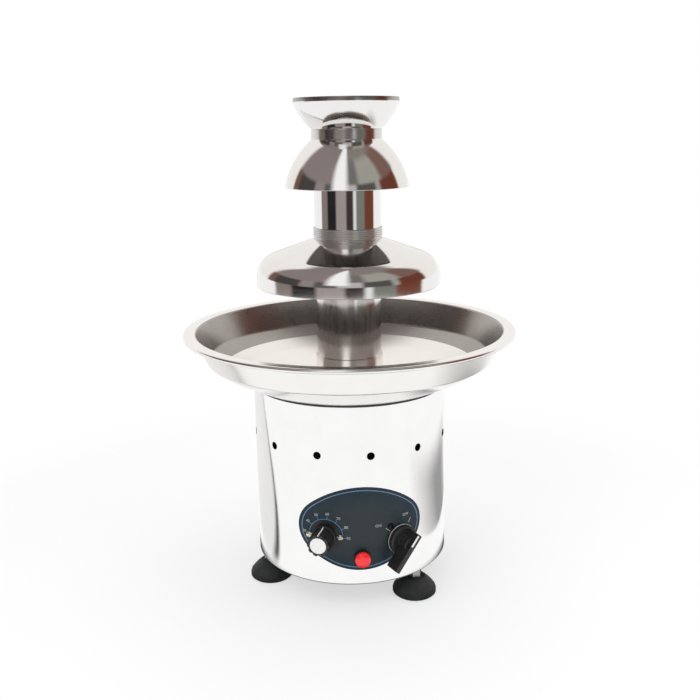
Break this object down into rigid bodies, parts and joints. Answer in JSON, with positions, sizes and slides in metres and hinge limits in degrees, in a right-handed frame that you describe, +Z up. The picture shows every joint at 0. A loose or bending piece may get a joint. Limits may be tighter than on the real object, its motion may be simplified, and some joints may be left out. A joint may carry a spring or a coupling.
{
  "type": "chocolate fountain",
  "caption": "Stainless chocolate fountain: round heated base with oval control panel, wide bowl, auger in a tube, and a lift-off tower of bell tiers under a flared crown.",
  "frame": {"origin": "on the floor under the axis of the tower", "axes": "+Z up along the tower; the control panel faces -Y"},
  "size_m": [0.26, 0.26, 0.3797],
  "materials": {
    "polished_steel": "mirror-polished stainless steel",
    "turned_steel": "turned stainless steel with fine grooves",
    "plain_steel": "bright zinc plate",
    "screw_steel": "yellow-passivated screw heads",
    "dark_screw": "black screw heads",
    "heater_sheath": "heat-stained sheath",
    "motor_paint": "satin paint",
    "gearbox_alloy": "die-cast alloy",
    "black_plastic": "moulded black plastic",
    "white_plastic": "moulded white plastic",
    "cream_plastic": "cream moulding",
    "panel_film": "printed overlay film",
    "red_lens": "red lamp lens",
    "black_rubber": "black rubber"
  },
  "bodies": {
    "base": {"base_shell": "polished_steel", "base_pan": "polished_steel", "bowl": "polished_steel", "bowl_gasket": "black_rubber", "seat_ring": "polished_steel", "seat_legs": "polished_steel", "heater_ring": "heater_sheath", "thermal_cutout": "cream_plastic", "shaft_bush": "cream_plastic", "bush_nut": "plain_steel", "motor_bracket": "plain_steel", "bracket_posts": "plain_steel", "gearbox_housing": "gearbox_alloy", "motor_can": "motor_paint", "motor_screws": "plain_steel", "tie_rods": "plain_steel", "tie_rod_nuts": "plain_steel", "control_panel": "panel_film", "thermostat_body": "cream_plastic", "thermostat_screws": "screw_steel", "switch_body": "black_plastic", "switch_screws": "dark_screw", "lamp_lens": "red_lens", "lamp_body": "black_plastic", "lamp_nut": "plain_steel", "cable_gland": "black_rubber", "terminal_block": "cream_plastic", "foot_nuts": "plain_steel"},
    "heat_dial": {"heat_knob": "black_plastic", "heat_knob_cap": "white_plastic", "thermostat_spindle": "plain_steel"},
    "motor_switch": {"switch_knob": "black_plastic", "switch_spindle": "plain_steel"},
    "drive": {"output_shaft": "plain_steel", "drive_pin": "plain_steel"},
    "auger": {"auger_core": "polished_steel", "auger_flight": "polished_steel"},
    "lower_tube": {"lower_tube": "polished_steel"},
    "lower_tier": {"lower_tier_dome": "polished_steel", "lower_tier_neck": "turned_steel"},
    "upper_tube": {"upper_tube": "polished_steel"},
    "upper_tier": {"upper_tier_dome": "polished_steel", "upper_tier_neck": "polished_steel"},
    "crown": {"crown_cup": "polished_steel"},
    "foot_a": {"foot_pad_a": "black_rubber", "foot_stud_a": "plain_steel"},
    "foot_b": {"foot_pad_b": "black_rubber", "foot_stud_b": "plain_steel"},
    "foot_c": {"foot_pad_c": "black_rubber", "foot_stud_c": "plain_steel"}
  },
  "joints": [
    {"name": "heat_dial_turn", "type": "hinge", "parent": "base", "child": "heat_dial", "pos_m": [-0.02867, -0.07469, 0.0604], "axis": [-0.3584, -0.9336, 0], "range_deg": [-90, 90]},
    {"name": "motor_switch_turn", "type": "hinge", "parent": "base", "child": "motor_switch", "pos_m": [0.03152, -0.07353, 0.0546], "axis": [0.3939, -0.9191, 0], "range_deg": [0, 88]},
    {"name": "drive_spin", "type": "hinge", "parent": "base", "child": "drive", "pos_m": [0, 0, 0.15], "axis": [0, 0, 1], "continuous": true},
    {"name": "auger_lift", "type": "slide", "parent": "drive", "child": "auger", "axis": [0, 0, 1], "range_m": [0, 0.24]},
    {"name": "lower_tube_lift", "type": "slide", "parent": "base", "child": "lower_tube", "axis": [0, 0, 1], "range_m": [0, 0.2]},
    {"name": "lower_tier_lift", "type": "slide", "parent": "lower_tube", "child": "lower_tier", "axis": [0, 0, 1], "range_m": [0, 0.12]},
    {"name": "upper_tube_lift", "type": "slide", "parent": "lower_tier", "child": "upper_tube", "axis": [0, 0, 1], "range_m": [0, 0.1]},
    {"name": "upper_tier_lift", "type": "slide", "parent": "upper_tube", "child": "upper_tier", "axis": [0, 0, 1], "range_m": [0, 0.06]},
    {"name": "crown_lift", "type": "slide", "parent": "upper_tier", "child": "crown", "axis": [0, 0, 1], "range_m": [0, 0.04]},
    {"name": "foot_a_screw", "type": "slide", "parent": "base", "child": "foot_a", "axis": [0, 0, -1], "range_m": [0, 0.006]},
    {"name": "foot_b_screw", "type": "slide", "parent": "base", "child": "foot_b", "axis": [0, 0, -1], "range_m": [0, 0.006]},
    {"name": "foot_c_screw", "type": "slide", "parent": "base", "child": "foot_c", "axis": [0, 0, -1], "range_m": [0, 0.006]}
  ]
}
